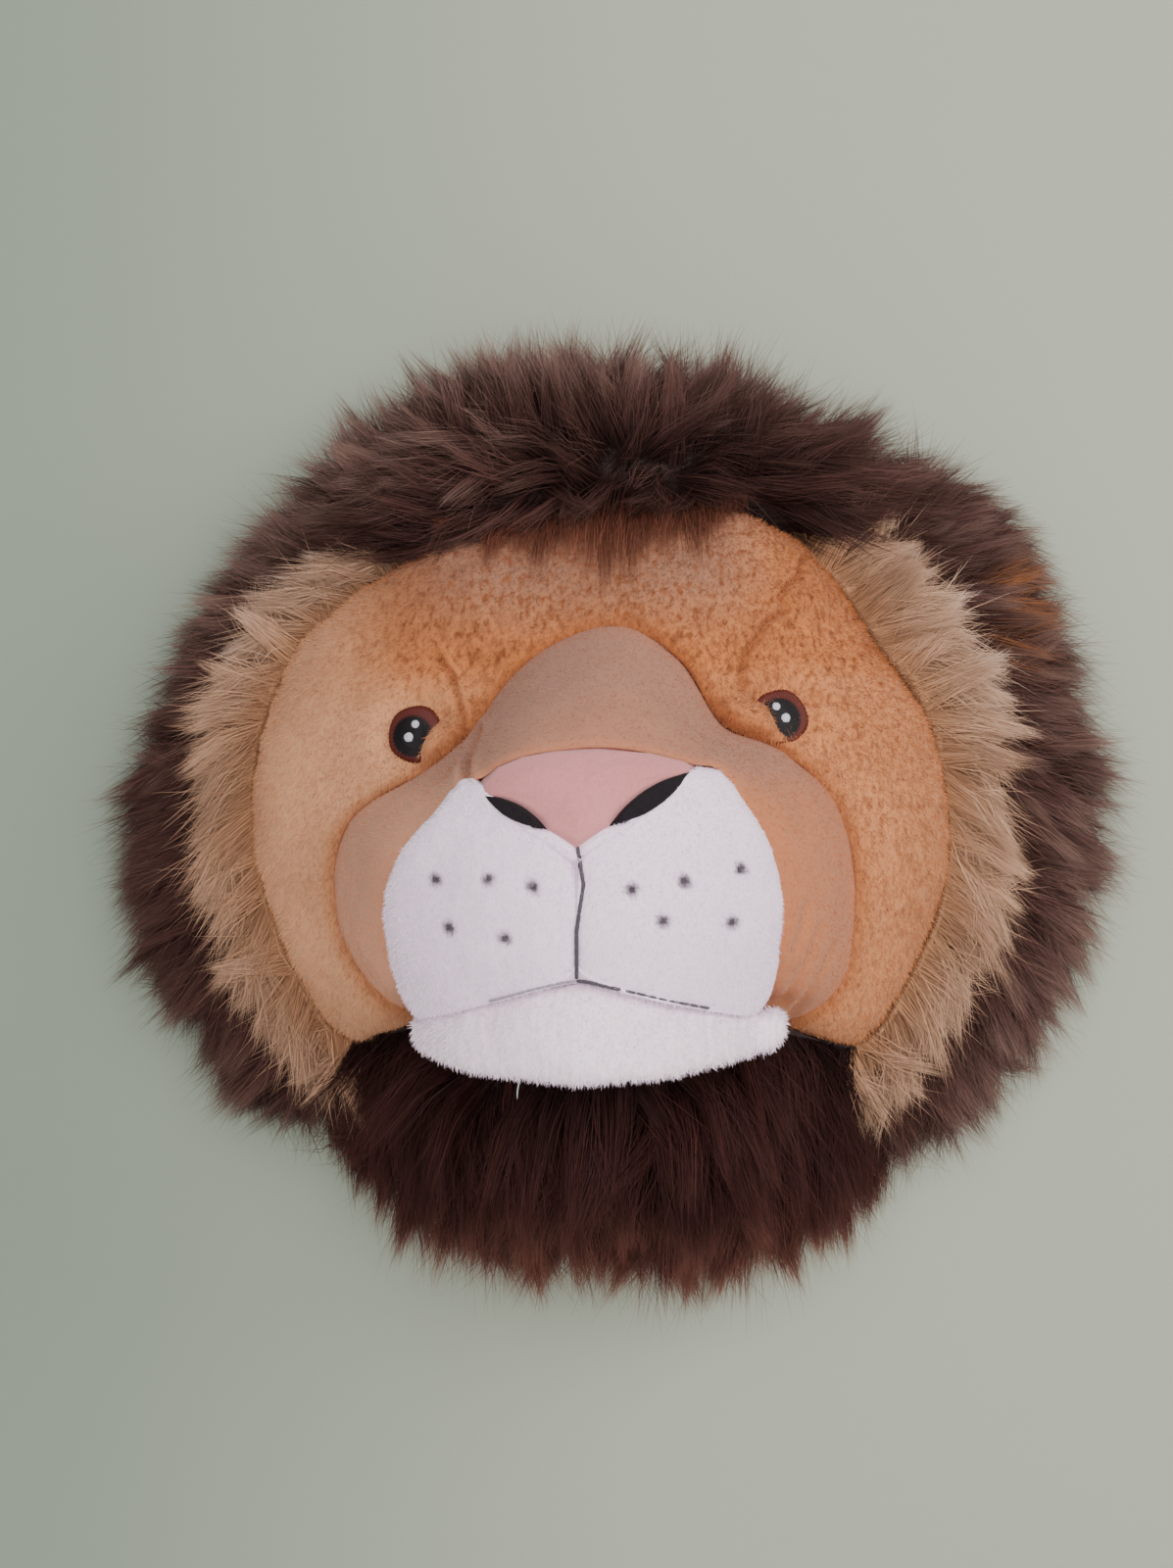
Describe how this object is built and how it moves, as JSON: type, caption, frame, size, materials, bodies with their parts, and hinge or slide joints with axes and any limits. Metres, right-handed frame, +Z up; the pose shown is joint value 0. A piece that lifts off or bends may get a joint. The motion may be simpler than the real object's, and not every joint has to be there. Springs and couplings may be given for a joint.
{
  "type": "plush lion head wall mask",
  "caption": "Stuffed plush lion head for a wall, with a long-pile brown mane and beard, tan cheek fur, velour snout and white muzzle.",
  "frame": {"origin": "middle of the flat cloth back, on the wall's plane", "axes": "+Z up, the face looks towards -Y, +X to the viewer's right"},
  "size_m": [0.3955, 0.23, 0.3659],
  "materials": {
    "back_cloth": "plain brown woven cloth",
    "mane_fur": "dark brown long-pile faux fur",
    "beard_fur": "very dark brown long-pile faux fur",
    "ruff_fur": "tan long-pile faux fur",
    "face_plush": "orange-tan short-pile plush, slightly curled and mottled",
    "snout_velour": "smooth taupe velour",
    "muzzle_velboa": "soft white short-pile velboa",
    "lip_velboa": "soft white short-pile velboa, gathered",
    "nose_velour": "dusty pink velour",
    "nostril_felt": "matt black felt",
    "eye_thread": "satin-stitched thread, glossy black pupil in a red-brown ring with white dots"
  },
  "bodies": {
    "root": {"back_panel": "back_cloth", "mane": "mane_fur", "beard": "beard_fur", "cheek_ruff_left": "ruff_fur", "cheek_ruff_right": "ruff_fur", "face": "face_plush", "snout": "snout_velour", "muzzle": "muzzle_velboa", "lower_lip": "lip_velboa", "nose": "nose_velour", "nostril_left": "nostril_felt", "nostril_right": "nostril_felt", "eye_left": "eye_thread", "eye_right": "eye_thread"}
  },
  "joints": []
}
